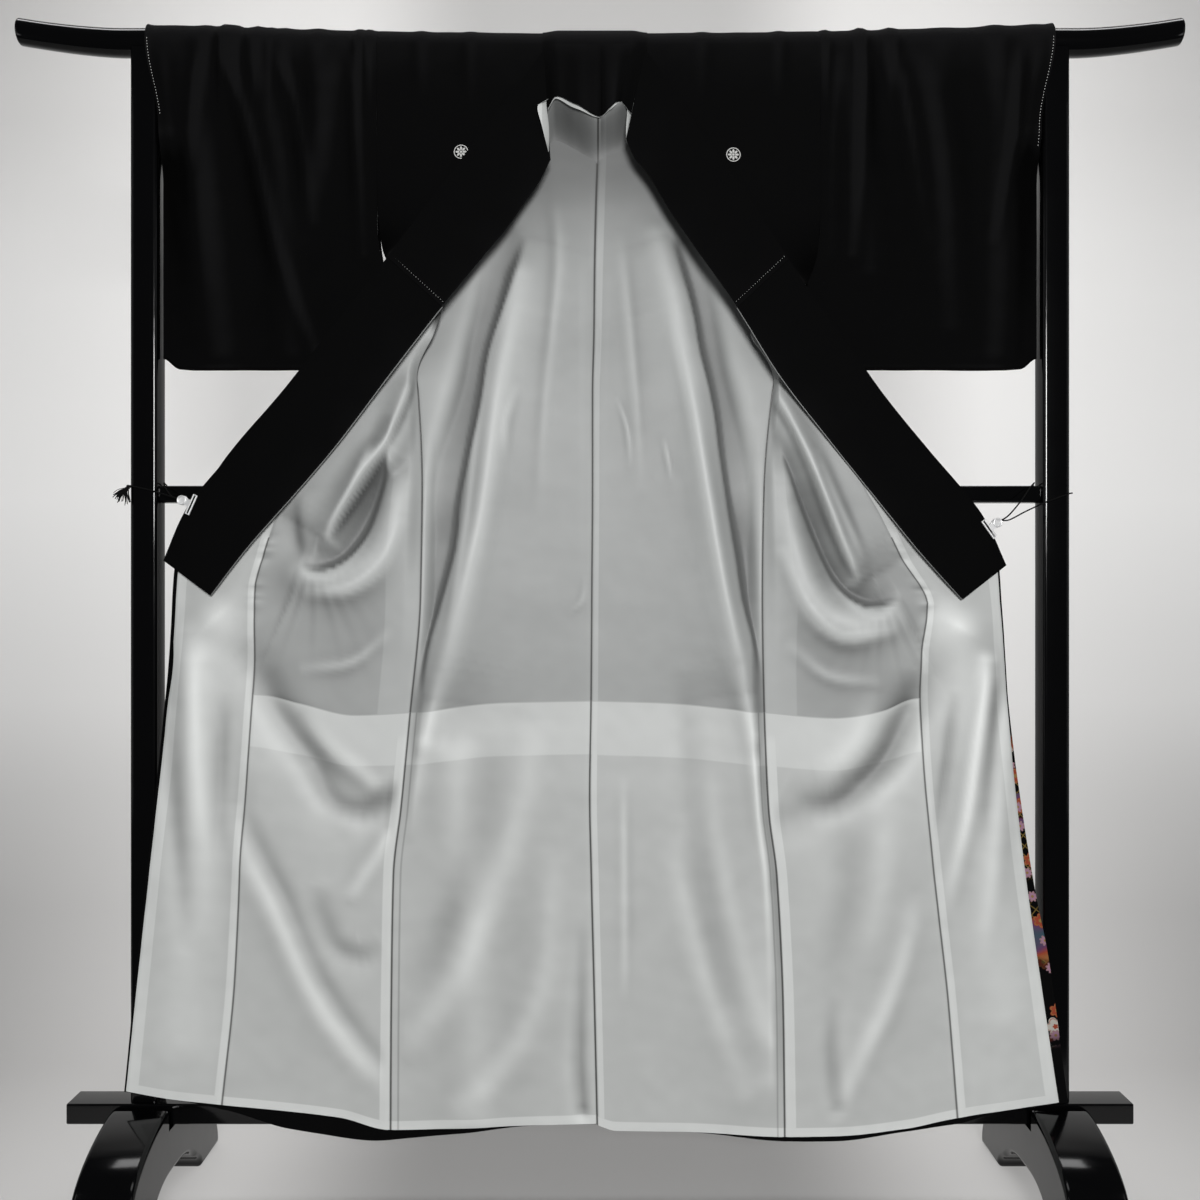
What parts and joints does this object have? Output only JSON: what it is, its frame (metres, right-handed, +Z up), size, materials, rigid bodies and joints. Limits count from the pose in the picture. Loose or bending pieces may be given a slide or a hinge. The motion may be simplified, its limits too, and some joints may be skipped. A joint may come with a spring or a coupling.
{
  "type": "kurotomesode kimono on a kimono stand",
  "caption": "Black formal kimono with a white lining, hung wide open on a lacquered stand, its collar ends drawn aside by clips and cords.",
  "frame": {"origin": "on the floor under the middle of the stand", "axes": "+Z up, +X to the viewer's right along the rail, the open front faces -Y"},
  "size_m": [1.714, 0.43, 1.7477],
  "materials": {
    "black_silk": "matt silk crepe",
    "white_silk": "soft satin silk",
    "grey_silk": "soft satin silk",
    "lacquer": "gloss black lacquer",
    "chrome": "polished",
    "cord": "matt twisted cord"
  },
  "bodies": {
    "root": {"top_rail": "lacquer", "post_left": "lacquer", "post_right": "lacquer", "mid_bar": "lacquer", "base_beam": "lacquer", "foot_left": "lacquer", "foot_right": "lacquer", "back_left": "black_silk", "front_left": "black_silk", "overlap_left": "black_silk", "sleeve_left": "black_silk", "over_collar_left": "black_silk", "collar_left": "black_silk", "back_lining_left": "grey_silk", "front_lining_left": "grey_silk", "sleeve_lining_left": "grey_silk", "back_hem_lining_left": "white_silk", "front_hem_lining_left": "white_silk", "overlap_lining_left": "white_silk", "inner_collar_left": "white_silk", "clip_left": "chrome", "cord_left": "cord", "back_right": "black_silk", "front_right": "black_silk", "overlap_right": "black_silk", "sleeve_right": "black_silk", "over_collar_right": "black_silk", "collar_right": "black_silk", "back_lining_right": "grey_silk", "front_lining_right": "grey_silk", "sleeve_lining_right": "grey_silk", "back_hem_lining_right": "white_silk", "front_hem_lining_right": "white_silk", "overlap_lining_right": "white_silk", "inner_collar_right": "white_silk", "clip_right": "chrome", "cord_right": "cord", "over_collar_neck": "black_silk", "cord_tail": "cord"}
  },
  "joints": []
}
